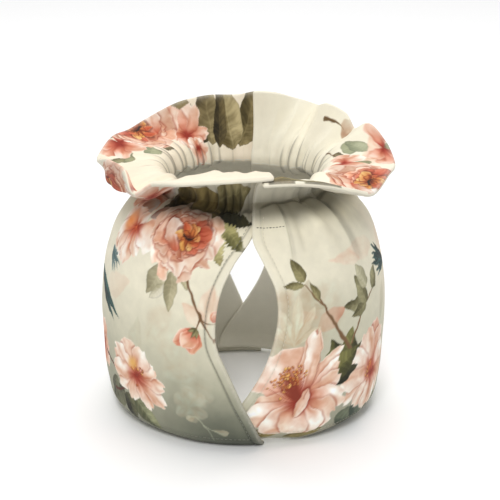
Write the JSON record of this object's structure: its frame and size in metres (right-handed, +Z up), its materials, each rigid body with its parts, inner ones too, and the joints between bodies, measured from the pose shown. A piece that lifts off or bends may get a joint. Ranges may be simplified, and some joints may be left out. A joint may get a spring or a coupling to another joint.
{
  "type": "tea cosy",
  "caption": "Padded cloth cosy that wraps a round teapot, with slots for its spout and handle, a gathered neck for its lid and a wavy frill.",
  "frame": {"origin": "middle of the base, on the surface that the hem stands on", "axes": "+Z up, the spout slot faces -Y, the handle slot faces +Y"},
  "size_m": [0.1785, 0.1752, 0.1835],
  "materials": {
    "printed_cloth_left": "cream to sage cotton print with coral roses and olive leaves",
    "printed_cloth_right": "cream cotton print with coral blossoms, brown twigs and olive leaves"
  },
  "bodies": {
    "root": {"panel_left": "printed_cloth_left", "panel_right": "printed_cloth_right"}
  },
  "joints": []
}
